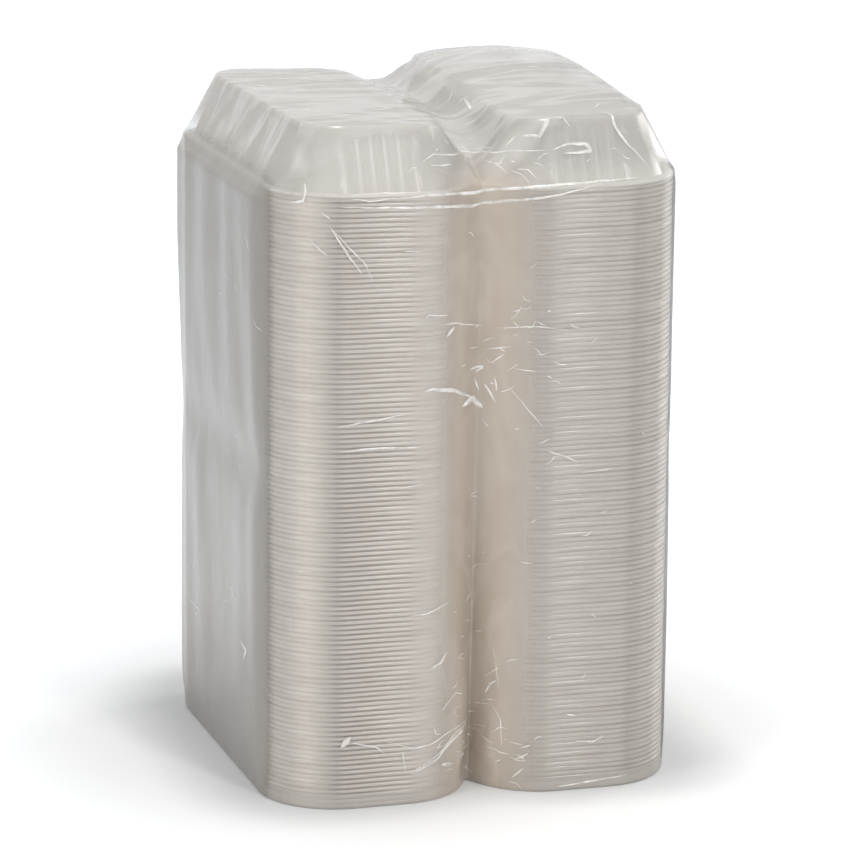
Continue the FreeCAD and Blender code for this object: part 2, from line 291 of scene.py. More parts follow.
def bell(value, middle, spread):
    """A soft hump, 1 at its middle and 0.37 one spread away from it."""
    return math.exp(-(((value - middle) / spread) ** 2))


def gap_depth(x, y, z):
    """How far the gaps between rims open at a point, from 0 to 1. They close inwards and upwards."""
    loose = 1 - 0.28 * smooth(200 * MM, 260 * MM, z)
    loose *= smooth(-104 * MM, -88 * MM, x) * (1 - smooth(-60 * MM, -38 * MM, x)) * (y < 0)
    tight = 1 - 0.4 * (x < 0) * (y < 0)
    return (0.34 * tight + 0.66 * loose) * (0.12 + 0.88 * smooth(22 * MM, 58 * MM, abs(x)))


def painted_sheen(x):
    """How light the stack is painted at that place across it: upright bands of painted highlight and painted
    shade that stand in for the lamps' reflections, darker on the right-hand column.
    """
    light = bell(x, -112 * MM, 7 * MM) + 0.9 * bell(x, -64 * MM, 20 * MM)
    dark = bell(abs(x), 96 * MM, 5 * MM) + bell(x, 34 * MM, 6 * MM)
    return 0.5 - 0.2 * (x > 0) + 0.4 * light - 0.34 * dark


# One rim's profile over its pitch, as (share of the pitch, how far in from the edge, how much it is lip and
# not painted gap shadow).
RIM_PROFILE = (
    (0.00, 1.9 * MM, 0.0),
    (0.20, 1.9 * MM, 0.0),
    (0.30, 0.55 * MM, 0.6),
    (0.40, 0.12 * MM, 1.0),
    (0.62, 0.00 * MM, 1.0),
    (0.84, 0.12 * MM, 1.0),
    (0.94, 0.55 * MM, 0.6),
)

# A bundle has the raised forms of its highest container and the hollows of its lowest, which lie a
# sheet's thickness inside the same form. This is the form, as (run in from the ledge, height over it).
BUNDLE_FORM = (
    (0.4 * MM, 0.0),
    (WALL_RUN - 1.2 * MM, RISE - 2.2 * MM),
    (WALL_RUN + 1.6 * MM, RISE - 1.0 * MM),
)

SHEET_SHADE, SHEET_LIGHT = (0.56, 0.52, 0.47, 1), (0.68, 0.645, 0.60, 1)
GAP_SHADOW = (0.27, 0.24, 0.205, 1)
nest_paint = bpy.data.materials.new("nested_sheet")
nest_paint.use_nodes = True
tree = nest_paint.node_tree
surface = tree.nodes["Principled BSDF"]
surface.inputs["Roughness"].default_value = 0.17
surface.inputs["IOR"].default_value = 1.5
surface.inputs["Specular IOR Level"].default_value = 0.8
place = tree.nodes.new("ShaderNodeTexCoord")
stretch = tree.nodes.new("ShaderNodeMapping")
stretch.inputs["Scale"].default_value = (30, 30, 330)
cloud = tree.nodes.new("ShaderNodeTexNoise")
cloud.inputs["Scale"].default_value = 1.0
cloud.inputs["Detail"].default_value = 3.0
shade = tree.nodes.new("ShaderNodeValToRGB")
shade.color_ramp.elements[0].position = 0.3
shade.color_ramp.elements[0].color = SHEET_SHADE
shade.color_ramp.elements[1].position = 0.7
shade.color_ramp.elements[1].color = SHEET_LIGHT
tree.links.new(place.outputs["Object"], stretch.inputs["Vector"])
tree.links.new(stretch.outputs["Vector"], cloud.inputs["Vector"])
tree.links.new(cloud.outputs["Fac"], shade.inputs["Fac"])
# Away from the lips the sheet takes the gap's shadow colour: painted shade between the rims, over the real
# shade in the gaps.
lip_mask = tree.nodes.new("ShaderNodeAttribute")
lip_mask.attribute_name = "lip"
gap_shadow_mix = tree.nodes.new("ShaderNodeMix")
gap_shadow_mix.data_type = "RGBA"
gap_shadow_mix.inputs[6].default_value = GAP_SHADOW
tree.links.new(lip_mask.outputs["Fac"], gap_shadow_mix.inputs[0])
tree.links.new(shade.outputs["Color"], gap_shadow_mix.inputs[7])
# Upright bands of painted highlight and painted shade scale the sheet's colour.
painted_band = tree.nodes.new("ShaderNodeAttribute")
painted_band.attribute_name = "painted_sheen"
painted_light_level = tree.nodes.new("ShaderNodeMapRange")
painted_light_level.inputs["To Min"].default_value = 0.72
painted_light_level.inputs["To Max"].default_value = 1.22
painted_band_colour = tree.nodes.new("ShaderNodeVectorMath")
painted_band_colour.operation = "SCALE"
tree.links.new(painted_band.outputs["Fac"], painted_light_level.inputs["Value"])
tree.links.new(gap_shadow_mix.outputs[2], painted_band_colour.inputs[0])
tree.links.new(painted_light_level.outputs["Result"], painted_band_colour.inputs["Scale"])
tree.links.new(painted_band_colour.outputs["Vector"], surface.inputs["Base Color"])

chance = random.Random(7)
placed = 0
for number in range(1, 7):
    count = min(BUNDLE, NESTED - placed)
    verts, faces = [], []
    base_z = FILM_UNDER + placed * PITCH
    levels = []
    for container in range(count):
        slip = chance.uniform(0.0, 0.35) * MM
        for share, inset, lip in RIM_PROFILE:
            levels.append((base_z + (container + share) * PITCH, inset, slip, lip))
    levels.append((base_z + (count - 0.02) * PITCH, RIM_PROFILE[0][1], 0.0, 0.0))
    shares, painted_bands = [], []
    for z, inset, slip, lip in levels:
        for (x, y), (out_x, out_y) in zip(rim_loop(inset + slip), rim_loop(slip)):
            depth = gap_depth(out_x, out_y, z)
            verts.append((out_x + (x - out_x) * depth, out_y + (y - out_y) * depth, fanned(x, z)))
            # The wider a gap opens, the more of it is painted with the gap's shadow colour.
            shares.append(1 - (1 - lip) * depth)
            painted_bands.append(painted_sheen(out_x))
    ring = len(verts) // len(levels)
    for level in range(len(levels) - 1):
        joined(faces, level * ring, (level + 1) * ring, ring)
    for level in (0, len(levels) - 1):
        feet = []
        skin = SHEET if level == 0 else 0.0
        for side in (-1, 1):
            feet.append(len(verts))
            for run, rise in BUNDLE_FORM:
                z = levels[level][0] + rise - skin * (rise > 0)
                loop = half_loop(side, LEDGE + run + skin, 0.8 * MM, *COARSE_STEPS)
                verts += [(x, y, fanned(x, z)) for x, y in loop]
            size = len(loop)
            joined(faces, feet[-1], feet[-1] + size, size)
            joined(faces, feet[-1] + size, feet[-1] + 2 * size, size)
            faces.append(tuple(range(feet[-1] + 2 * size, feet[-1] + 3 * size)))
        ledge(verts, faces, level * ring, feet, ring, size)
    bundle = mesh_piece(f"nested_{number}", verts, faces, 60)
    lips = bundle.data.attributes.new("lip", "FLOAT", "POINT")
    lips.data.foreach_set("value", shares + [0.8] * (len(verts) - len(shares)))
    sheens = bundle.data.attributes.new("painted_sheen", "FLOAT", "POINT")
    sheens.data.foreach_set("value", painted_bands + [0.5] * (len(verts) - len(painted_bands)))
    bundle.data.materials.append(nest_paint)
    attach(bundle, "root")
    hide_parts(f"nested_containers_{number}")
    placed += count

# The top container, one sheet of thin clear plastic like the rest. It lies open on the nest, upside
# down, and shows the whole moulding: a ledge round each half, walls with stiffening ribs, rounded
# edges and a sunk panel in each raised base.
TOP_LEDGE = NEST_TOP + PITCH / 2

# The moulding from the rim's edge inwards, as (inset from the rim, height over the ledge, share of
# the ribs' height there).
MOULDING = (
    (0.0 * MM, -1.50 * MM, 0.0),
    (0.0 * MM, -0.40 * MM, 0.0),
    (0.4 * MM, 0.00 * MM, 0.0),
    (5.0 * MM, 0.00 * MM, 0.0),
    (6.0 * MM, 0.40 * MM, 0.3),
    (6.8 * MM, 1.90 * MM, 1.0),
    (10.6 * MM, 11.0 * MM, 1.0),
    (14.4 * MM, 20.0 * MM, 1.0),
    (18.2 * MM, 29.0 * MM, 1.0),
    (20.3 * MM, 34.2 * MM, 1.0),
    (21.1 * MM, 36.2 * MM, 0.7),
    (22.4 * MM, 37.6 * MM, 0.3),
    (24.4 * MM, 38.0 * MM, 0.0),
    (29.6 * MM, 38.0 * MM, 0.0),
    (30.6 * MM, 37.6 * MM, 0.0),
    (31.4 * MM, 36.7 * MM, 0.0),
    (33.0 * MM, 36.4 * MM, 0.0),
)

verts, faces = [], []
for side in (-1, 1):
    first = len(verts)
    for inset, rise, share in MOULDING:
        z = TOP_LEDGE + rise
        verts += [(x, y, fanned(x, z)) for x, y in half_loop(side, inset, share * 1.1 * MM)]
    ring = (len(verts) - first) // len(MOULDING)
    for level in range(len(MOULDING) - 1):
        joined(faces, first + level * ring, first + (level + 1) * ring, ring)
    faces.append(tuple(range(len(verts) - ring, len(verts))))
hinge = len(verts)
for x, y in ((-HINGE / 2, -REACH_Y), (HINGE / 2, -REACH_Y), (HINGE / 2, REACH_Y), (-HINGE / 2, REACH_Y)):
    verts.append((x, y, TOP_LEDGE - 0.3 * MM))
faces.append((hinge, hinge + 1, hinge + 2, hinge + 3))
top = mesh_piece("top_sheet", verts, faces, 35)
thicken = top.modifiers.new("sheet", "SOLIDIFY")
thicken.thickness = SHEET
thicken.offset = -1.0

clear_paint = bpy.data.materials.new("clear_sheet")
clear_paint.use_nodes = True
tree = clear_paint.node_tree
surface = tree.nodes["Principled BSDF"]
surface.inputs["Base Color"].default_value = (0.86, 0.845, 0.82, 1)
surface.inputs["Roughness"].default_value = 0.16
surface.inputs["IOR"].default_value = 1.5
rim_light = tree.nodes.new("ShaderNodeLayerWeight")
rim_light.inputs["Blend"].default_value = 0.35
cover = tree.nodes.new("ShaderNodeMapRange")
cover.inputs["To Min"].default_value = 0.68
cover.inputs["To Max"].default_value = 0.95
tree.links.new(rim_light.outputs["Facing"], cover.inputs["Value"])
tree.links.new(cover.outputs["Result"], surface.inputs["Alpha"])
top.data.materials.append(clear_paint)
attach(top, "root")
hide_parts("top_container")

# The film bag, one closed bag of thin, clear, slightly hazy film. It is drawn tight over the rims,
# bridges the gap between the columns, and is tented over the two forms. Air lifts it over the
# right-hand form.
FILM_GAP = 0.75 * MM
SHOULDER = TOP_LEDGE + FILM_GAP
CROWN = TOP_LEDGE + RISE + FILM_GAP
WEB_LOW, WEB_HIGH = 36 * MM, 16 * MM
SADDLE_DROP = 6 * MM
SADDLE_FRONT, SADDLE_BACK = 62 * MM, 112 * MM
PUFF, PUFF_OUT = 15 * MM, 7 * MM
PINCH = 205 * MM  # the height at which the end faces are drawn in
SIDE_STEPS = 104  # points round a quarter of the bag
LEVELS = 146


def film_quarter(drop):
    """A quarter of the bag's outline, from the middle of the web to the middle of an end face."""
    radius = CORNER + FILM_GAP
    edge_y = HALF_DEPTH / 2 + FILM_GAP
    near, far = COLUMN_X - REACH_X, COLUMN_X + REACH_X
    start_y = edge_y - drop
    span = math.hypot(near, start_y - REACH_Y)
    lean = math.atan2(start_y - REACH_Y, near)
    touch = math.pi - lean - math.acos(min(1.0, radius / span))
    end_x, end_y = near + radius * math.cos(touch), REACH_Y + radius * math.sin(touch)
    line = []
    for step in range(6):
        share = step / 6
        line.append((share * end_x, start_y + share * (end_y - start_y)))
    for step in range(25):
        turn = touch + (math.pi / 2 - touch) * step / 24
        line.append((near + radius * math.cos(turn), REACH_Y + radius * math.sin(turn)))
    for step in range(25):
        turn = math.pi / 2 * (1 - step / 24)
        line.append((far + radius * math.cos(turn), REACH_Y + radius * math.sin(turn)))
    line.append((far + radius, 0.0))
    return line


def even(line, steps):
    """The line divided into even steps, without its last point."""
    lengths = [0.0]
    for before, after in zip(line, line[1:]):
        lengths.append(lengths[-1] + math.dist(before, after))
    points, place = [], 0
    for step in range(steps):
        target = lengths[-1] * step / steps
        while lengths[place + 1] < target:
            place += 1
        share = (target - lengths[place]) / (lengths[place + 1] - lengths[place])
        points.append(tuple(a + (b - a) * share for a, b in zip(line[place], line[place + 1])))
    return points


def film_loop(drop):
    """The bag's whole outline from the middle of the front web, counterclockwise."""
    line = film_quarter(drop)
    out, back = even(line, SIDE_STEPS), even(line[::-1], SIDE_STEPS)
    return (
        [(x, -y) for x, y in out]
        + [(x, y) for x, y in back]
        + [(-x, y) for x, y in out]
        + [(-x, -y) for x, y in back]
    )


def ripple(x, y, z, size, stretch_z, seed):
    """Soft noise between -1 and 1, drawn out upwards."""
    return noise.noise(Vector((x / size + seed, y / size, z / (size * stretch_z))))


def side_relief(x, y, z):
    """How far the film stands out from its tight outline."""
    end = smooth(100 * MM, 130 * MM, abs(x)) * (1 - smooth(85 * MM, 118 * MM, abs(y)))
    tight = 1 - bell(z, PINCH, 20 * MM)
    high = smooth(PINCH, 330 * MM, z)
    foot = smooth(0.0, 30 * MM, z)
    out = end * tight * foot * 1.6 * MM * (0.6 + ripple(x, y, z, 34 * MM, 5, 5))
    if x < 0:
        out += end * (1.2 + 2.6 * high) * MM * tight * foot
    out += foot * 0.30 * MM * (1 + ripple(x, y, z, 21 * MM, 4, 11))
    out += foot * 0.12 * MM * (1 + ripple(x, y, z, 7 * MM, 1.5, 17))
    web = 1 - smooth(6 * MM, 40 * MM, abs(x))
    low = 1 - smooth(10 * MM, 150 * MM, z)
    swing = 5 * noise.noise(Vector((x * 14, z * 9, 2)))
    pleats = 0.5 + 0.5 * math.sin(x / ((2.6 + z * 16) * MM) + swing)
    out += web * low * foot * 3.4 * MM * pleats
    return out


verts, faces = [], []
heights = [0.0, 1.2 * MM, 3.0 * MM]
heights += [3.0 * MM + (SHOULDER - 3.0 * MM) * step / LEVELS for step in range(1, LEVELS + 1)]
tucks = {0: 1.6 * MM, 1: 0.4 * MM}  # how far the two lowest rows are drawn in at the floor
count = 4 * SIDE_STEPS
for row, z in enumerate(heights):
    share = z / SHOULDER
    loop = film_loop(WEB_LOW + (WEB_HIGH - WEB_LOW) * share)
    for index, (x, y) in enumerate(loop):
        before, after = loop[index - 1], loop[(index + 1) % count]
        run_x, run_y = after[0] - before[0], after[1] - before[1]
        length = math.hypot(run_x, run_y)
        out = side_relief(x, y, z) * (1 - smooth(SHOULDER - 9 * MM, SHOULDER, z)) - tucks.get(row, 0.0)
        verts.append((x + run_y / length * out, y - run_x / length * out, fanned(x, z)))
for row in range(len(heights) - 1):
    joined(faces, row * count, (row + 1) * count, count)
faces.append(tuple(reversed(range(count))))

# The top of the bag, one form at a time, from its shoulder and the saddle inwards.
SADDLE_STEPS = 96
TENT_RINGS = 16
CAP_RINGS = 15
TENT_X, TENT_Y = HALF_WIDTH / 2 - 20.5 * MM, HALF_DEPTH / 2 - 20.5 * MM
TENT_CORNER = 27 * MM
TENT_SAG, TENT_PLEAT = 1.6 * MM, 2.4 * MM
shoulder_row = (len(heights) - 1) * count
web_y = -verts[shoulder_row][1]


def saddle_height(y):
    """The film between the forms: a long slope at the front, and steep at the back, where it is tight."""
    rise = CROWN - SADDLE_DROP - SHOULDER
    front = smooth(-web_y - 26 * MM, -SADDLE_FRONT + 14 * MM, y)
    start = smooth(-web_y - 26 * MM, -SADDLE_FRONT + 14 * MM, -web_y)
    front = (front - start) / (1 - start)
    back = 1 - smooth(SADDLE_BACK - 6 * MM, web_y, y)
    return SHOULDER + rise * min(front, back)


def air(x, y):
    """How far air lifts the film at a point, from 0 to 1. It gathers over the back of the right-hand form."""
    across = math.sin(math.pi * max(0.0, min(1.0, (x + 6 * MM) / (144 * MM)))) ** 0.7 if x > -6 * MM else 0.0
    return across * smooth(-120 * MM, 55 * MM, y) * (1 - 0.35 * smooth(70 * MM, 122 * MM, y))


def film_top(x, y, z):
    """A point of the film's top, with its small creases."""
    streak = noise.noise(Vector((x * 34 + y * 12, y * 9 - x * 5, 3)))
    fine = noise.noise(Vector((x * 95 - y * 40, y * 60, 7)))
    return (x, y, fanned(x, z) + (0.55 * streak + 0.22 * fine) * MM)


def tent_end(x, y, middle):
    """Where the tent meets the flat top of a form, inwards from a point: a rectangle with round corners."""
    turn = math.atan2(y / HALF_DEPTH, (x - middle) / HALF_WIDTH)
    scale = 1 / max(abs(math.cos(turn)), abs(math.sin(turn)))
    end_x, end_y = math.cos(turn) * scale * TENT_X, math.sin(turn) * scale * TENT_Y
    over_x, over_y = abs(end_x) - (TENT_X - TENT_CORNER), abs(end_y) - (TENT_Y - TENT_CORNER)
    if over_x > 0 and over_y > 0:
        reach = max(over_x, over_y) / math.hypot(over_x, over_y)
        end_x = math.copysign(TENT_X - TENT_CORNER + over_x * reach, end_x)
        end_y = math.copysign(TENT_Y - TENT_CORNER + over_y * reach, end_y)
    return middle + end_x, end_y


def tent_point(start, end, side, ring):
    """The film at one ring, on the way in from the rim to the form's top and over it to its middle."""
    middle = side * COLUMN_X
    if ring <= TENT_RINGS:
        share = ring / TENT_RINGS
        x = start[0] + (end[0] - start[0]) * share
        y = start[1] + (end[1] - start[1]) * share
        z = start[2] + (CROWN - start[2]) * share - TENT_SAG * math.sin(math.pi * share)
        turn = math.atan2(y, (x - middle) * 2)
        pleat = noise.noise(Vector((turn * 7, side * 3.0, share * 0.7)))
        z += math.sin(math.pi * share) * TENT_PLEAT * pleat
        swell = air(x, y) * smooth(0.0, 0.7, share)
        if x > middle:
            x += PUFF_OUT * swell * math.sin(math.pi * min(1.0, share * 1.1))
    else:
        share = 0.95 * (ring - TENT_RINGS) / CAP_RINGS
        x = middle + (end[0] - middle) * (1 - share)
        y = end[1] * (1 - share * TENT_X / TENT_Y)
        z = CROWN
        swell = air(x, y)
    return film_top(x, y, z + PUFF * swell)


saddle = []
for step in range(1, SADDLE_STEPS):
    y = -web_y + 2 * web_y * step / SADDLE_STEPS
    saddle.append((0.0, y, saddle_height(y)))
saddle_first = len(verts)
verts += saddle
saddle_row = list(range(saddle_first, len(verts)))
for side in (1, -1):
    turned = 0 if side > 0 else 2 * SIDE_STEPS
    rim = [shoulder_row + (turned + index) % count for index in range(2 * SIDE_STEPS + 1)]
    rim += saddle_row[::-side]
    starts = []
    for index in rim:
        x, y, z = verts[index]
        starts.append((x, y, z if index >= saddle_first else SHOULDER))
    ends = [tent_end(x, y, side * COLUMN_X) for x, y, z in starts]
    previous = rim
    for ring in range(1, TENT_RINGS + CAP_RINGS + 1):
        fresh = list(range(len(verts), len(verts) + len(rim)))
        verts += [tent_point(start, end, side, ring) for start, end in zip(starts, ends)]
        for index in range(len(rim)):
            after = (index + 1) % len(rim)
            faces.append((previous[index], previous[after], fresh[after], fresh[index]))
        previous = fresh
    faces.append(tuple(previous))
for index in saddle_row:
    verts[index] = film_top(*verts[index])
film = mesh_piece("film", verts, faces, 180)

film_paint = bpy.data.materials.new("bag_film")
film_paint.use_nodes = True
tree = film_paint.node_tree
surface = tree.nodes["Principled BSDF"]
surface.inputs["Roughness"].default_value = 0.24
surface.inputs["IOR"].default_value = 1.5
# The end faces' tone is darker than the front's: partly the film's own grey haze there and partly painted
# shade.
FRONT_TONE, END_TONE_AND_SHADE = Vector((0.66, 0.635, 0.60)), Vector((0.41, 0.39, 0.365))
CROWN_TONE, WEB_TONE = Vector((0.62, 0.60, 0.575)), Vector((0.66, 0.58, 0.49))

# How hazy, how dark and how creased the film is, point by point. It is clearest over the rims and over
# the front of both forms, and hazier on the ends, the web, the foot and the top.
CLEAR_HAZE, CROWN_HAZE, TENT_END_HAZE = 0.20, 0.36, 0.78
END_HAZE, FOOT_HAZE, WEB_HAZE = 0.85, 0.6, 0.66
hazes, tones, wrinkles = [], [], []
for vertex in film.data.vertices:
    x, y, z = vertex.co
    end = smooth(126 * MM, 131.5 * MM, abs(x)) * (1 - smooth(100 * MM, 118 * MM, abs(y)))
    crown = smooth(SHOULDER + 1 * MM, SHOULDER + 20 * MM, z)
    window = smooth(-128 * MM, -98 * MM, x) * (1 - smooth(-52 * MM, -20 * MM, x))
    window = max(window, 0.7 * smooth(20 * MM, 50 * MM, x) * (1 - smooth(96 * MM, 124 * MM, x)))
    window *= (1 - smooth(-122 * MM, -104 * MM, y)) * (1 - smooth(SHOULDER + 28 * MM, SHOULDER + 42 * MM, z))
    foot = 1 - smooth(6 * MM, 14 * MM, z)
    sway = 11 * MM * noise.noise(Vector((x * 3, z * 11, 5)))
    web = 1 - smooth(10 * MM + sway, 46 * MM + sway, abs(x))
    clear = CLEAR_HAZE + CROWN_HAZE * crown * (1 - window)
    slope = crown * smooth(102 * MM, 114 * MM, abs(x))
    hazes.append(max(clear, END_HAZE * end, TENT_END_HAZE * slope, FOOT_HAZE * foot, WEB_HAZE * web))
    shade_here = FRONT_TONE.lerp(WEB_TONE, web * (1 - crown))
    shade_here = shade_here.lerp(END_TONE_AND_SHADE, end).lerp(CROWN_TONE, crown)
    shade_here = shade_here * (1 - 0.4 * crown * window * (x > 0))
    tones += [*shade_here, 1.0]
    wrinkles.append(max(0.05 - 0.035 * end, 0.09 * web, 0.30 * crown))
film.data.attributes.new("haze", "FLOAT", "POINT").data.foreach_set("value", hazes)
film.data.attributes.new("tone", "FLOAT_COLOR", "POINT").data.foreach_set("color", tones)
film.data.attributes.new("wrinkle", "FLOAT", "POINT").data.foreach_set("value", wrinkles)

# The haze is the film's alpha, a little uneven. Where it is creased, fine streaks whiten it: partly the
# film's own whitening and partly painted glints.
CREASE_WHITE_AND_GLINT = (0.90, 0.885, 0.865, 1)
tint = tree.nodes.new("ShaderNodeAttribute")
tint.attribute_name = "tone"
veil = tree.nodes.new("ShaderNodeAttribute")
veil.attribute_name = "haze"
place = tree.nodes.new("ShaderNodeTexCoord")
mist = tree.nodes.new("ShaderNodeTexNoise")
mist.inputs["Scale"].default_value = 28.0
mist.inputs["Detail"].default_value = 4.0
misted = tree.nodes.new("ShaderNodeMath")
misted.operation = "MULTIPLY_ADD"
misted.inputs[1].default_value = 0.08
evened = tree.nodes.new("ShaderNodeMath")
evened.operation = "SUBTRACT"
evened.inputs[1].default_value = 0.04
tree.links.new(place.outputs["Object"], mist.inputs["Vector"])
tree.links.new(mist.outputs["Fac"], misted.inputs[0])
tree.links.new(veil.outputs["Fac"], misted.inputs[2])
tree.links.new(misted.outputs[0], evened.inputs[0])
drawn = tree.nodes.new("ShaderNodeMapping")
drawn.inputs["Rotation"].default_value = (0.5, 0.9, 0.35)
drawn.inputs["Scale"].default_value = (9, 34, 13)
crinkle = tree.nodes.new("ShaderNodeTexNoise")
crinkle.inputs["Scale"].default_value = 1.0
crinkle.inputs["Detail"].default_value = 2.5
crinkle.inputs["Distortion"].default_value = 0.5
centred = tree.nodes.new("ShaderNodeMath")
centred.operation = "SUBTRACT"
centred.inputs[1].default_value = 0.5
ridge = tree.nodes.new("ShaderNodeMath")
ridge.operation = "ABSOLUTE"
streaks = tree.nodes.new("ShaderNodeMapRange")
streaks.interpolation_type = "SMOOTHSTEP"
streaks.inputs["From Max"].default_value = 0.09
streaks.inputs["To Min"].default_value = 1.0
streaks.inputs["To Max"].default_value = 0.0
whiten_and_glint = tree.nodes.new("ShaderNodeMix")
whiten_and_glint.data_type = "RGBA"
whiten_and_glint.inputs[7].default_value = CREASE_WHITE_AND_GLINT
creased = tree.nodes.new("ShaderNodeAttribute")
creased.attribute_name = "wrinkle"
creasing = tree.nodes.new("ShaderNodeMath")
creasing.operation = "MULTIPLY"
cover = tree.nodes.new("ShaderNodeMath")
cover.operation = "MULTIPLY_ADD"
cover.inputs[1].default_value = 0.5
fold = tree.nodes.new("ShaderNodeBump")
fold.inputs["Strength"].default_value = 0.3
fold.inputs["Distance"].default_value = 0.0016
tree.links.new(place.outputs["Object"], drawn.inputs["Vector"])
tree.links.new(drawn.outputs["Vector"], crinkle.inputs["Vector"])
tree.links.new(crinkle.outputs["Fac"], centred.inputs[0])
tree.links.new(centred.outputs[0], ridge.inputs[0])
tree.links.new(ridge.outputs[0], streaks.inputs["Value"])
tree.links.new(streaks.outputs["Result"], creasing.inputs[0])
tree.links.new(creased.outputs["Fac"], creasing.inputs[1])
tree.links.new(creasing.outputs[0], fold.inputs["Height"])
tree.links.new(fold.outputs["Normal"], surface.inputs["Normal"])
tree.links.new(creasing.outputs[0], cover.inputs[0])
tree.links.new(evened.outputs[0], cover.inputs[2])
tree.links.new(cover.outputs[0], surface.inputs["Alpha"])
tree.links.new(creasing.outputs[0], whiten_and_glint.inputs[0])
tree.links.new(tint.outputs["Color"], whiten_and_glint.inputs[6])
tree.links.new(whiten_and_glint.outputs[2], surface.inputs["Base Color"])
film.data.materials.append(film_paint)
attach(film, "root")
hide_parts("film_bag")

# The film's sharp creases, part of the same film. Where it is crushed, thin bright ridges stand on it.
# Each is given by its width and its points on the front (x, z), on the left end (y, z) or on top
# (x, y), in millimetres, and lies on the film.
FRONT, END, TOP = (0, 1, 0), (1, 0, 0), (0, 0, -1)  # the way that leads onto the film there
CREASE_SIDES = 6
CREASE_STEP = 1.6
CREASES = (
    (FRONT, 1.9, ((-64, 379), (-40, 380), (-6, 378), (44, 383), (78, 384), (96, 385))),
    (FRONT, 1.8, ((-93, 375), (-40, 373), (-8, 370), (26, 374), (45, 377), (71, 383))),
    (FRONT, 0.9, ((-87, 380), (-76, 378), (-64, 379))),
    (FRONT, 0.6, ((-80, 383), (-39, 382))),
    (FRONT, 1.1, ((-43, 397), (-31, 402), (3, 397), (19, 401), (40, 402))),
    (FRONT, 0.9, ((-34, 396), (-19, 395))),
    (FRONT, 1.0, ((-100, 364), (-88, 345), (-80, 334))),
    (FRONT, 0.7, ((-99, 362), (-78, 340), (-73, 329))),
    (FRONT, 1.2, ((-105, 372), (-99, 368))),
    (FRONT, 1.0, ((-110, 355), (-105, 349), (-101, 346))),
    (FRONT, 0.6, ((-55, 347), (-42, 346))),
    (FRONT, 1.8, ((-112, 389), (-112, 386), (-114, 378), (-120, 377))),
    (FRONT, 1.1, ((-96, 241), (-74, 244), (-53, 247))),
    (FRONT, 1.1, ((-96, 226), (-73, 227), (-47, 226), (-39, 227))),
    (FRONT, 0.7, ((-58, 201), (-39, 203))),
    (FRONT, 1.0, ((-41, 305), (-38, 307), (-24, 305))),
    (FRONT, 0.9, ((-32, 300), (-17, 299), (2, 294))),
    (FRONT, 2.4, ((-25, 292), (-19, 297))),
    (FRONT, 0.7, ((9, 294), (22, 295), (31, 296), (51, 293))),
    (FRONT, 0.7, ((2, 285), (8, 288))),
    (FRONT, 0.7, ((3, 280), (18, 283))),
    (FRONT, 0.7, ((7, 272), (14, 278))),
    (FRONT, 1.8, ((-7, 268), (-2, 269), (3, 269), (-3, 265))),
    (FRONT, 1.3, ((-3, 263), (1, 254))),
    (FRONT, 1.3, ((3, 259), (10, 247))),
    (FRONT, 0.9, ((9, 263), (10, 254))),
    (FRONT, 0.7, ((15, 267), (21, 272))),
    (FRONT, 0.7, ((19, 269), (31, 268))),
    (FRONT, 0.8, ((41, 274), (45, 272), (50, 272))),
    (FRONT, 0.6, ((16, 258), (36, 233))),
    (FRONT, 2.6, ((-42, 260), (-35, 261), (-20, 258), (-5, 251))),
    (FRONT, 4.0, ((-12, 246), (-4, 250), (3, 243))),
    (FRONT, 0.8, ((38, 219), (48, 215), (58, 210))),
    (FRONT, 0.6, ((59, 204), (69, 204), (81, 205))),
    (FRONT, 3.6, ((-92, 40), (-86, 47))),
    (FRONT, 0.9, ((-85, 43), (-70, 39), (-64, 34))),
    (FRONT, 0.9, ((-63, 42), (-46, 36), (-35, 37), (-17, 43), (1, 47))),
    (FRONT, 0.9, ((-53, 20), (-44, 22), (-26, 31), (-15, 40), (1, 46))),
    (FRONT, 1.4, ((-46, 20), (-29, 27), (-19, 35), (-7, 42))),
    (FRONT, 0.7, ((-53, 35), (-51, 21))),
    (FRONT, 1.0, ((-26, 57), (-15, 66), (-9, 63))),
    (FRONT, 1.6, ((-34, 86), (-27, 88), (-23, 94))),
    (FRONT, 0.8, ((-50, 120), (-37, 121), (-20, 126))),
    (FRONT, 1.4, ((7, 61), (9, 68), (12, 71))),
    (FRONT, 0.7, ((2, 100), (5, 101))),
    (FRONT, 0.5, ((9, 56), (14, 47), (15, 28))),
    (FRONT, 0.5, ((10, 92), (13, 66))),
    (FRONT, 0.8, ((4, 5), (-5, 14))),
    (FRONT, 3.0, ((-26, 22), (-17, 21))),
    (FRONT, 0.9, ((25, 29), (31, 31))),
    (FRONT, 0.9, ((22, 21), (30, 26))),
    (FRONT, 0.9, ((21, 9), (27, 16))),
    (FRONT, 1.0, ((53, 50), (60, 49))),
    (FRONT, 1.2, ((59, 32), (71, 31), (78, 34))),
    (FRONT, 1.0, ((47, 3), (70, 5), (94, 7))),
    (FRONT, 2.0, ((43, 402), (52, 405), (64, 405), (67, 401), (60, 400), (49, 400))),
    (TOP, 2.6, ((26, -115), (36, -120), (41, -118), (48, -114), (56, -120))),
    (TOP, 1.0, ((17, -112), (26, -113))),
    (TOP, 1.5, ((81, -105), (84, -120), (92, -126), (102, -128))),
    (TOP, 2.2, ((16, -34), (13, -56))),
    (END, 2.2, ((-61, 90), (-74, 87), (-67, 79))),
    (END, 1.0, ((-19, 121), (-39, 114), (-58, 112))),
    (END, 0.8, ((82, 85), (72, 80), (43, 81))),
)


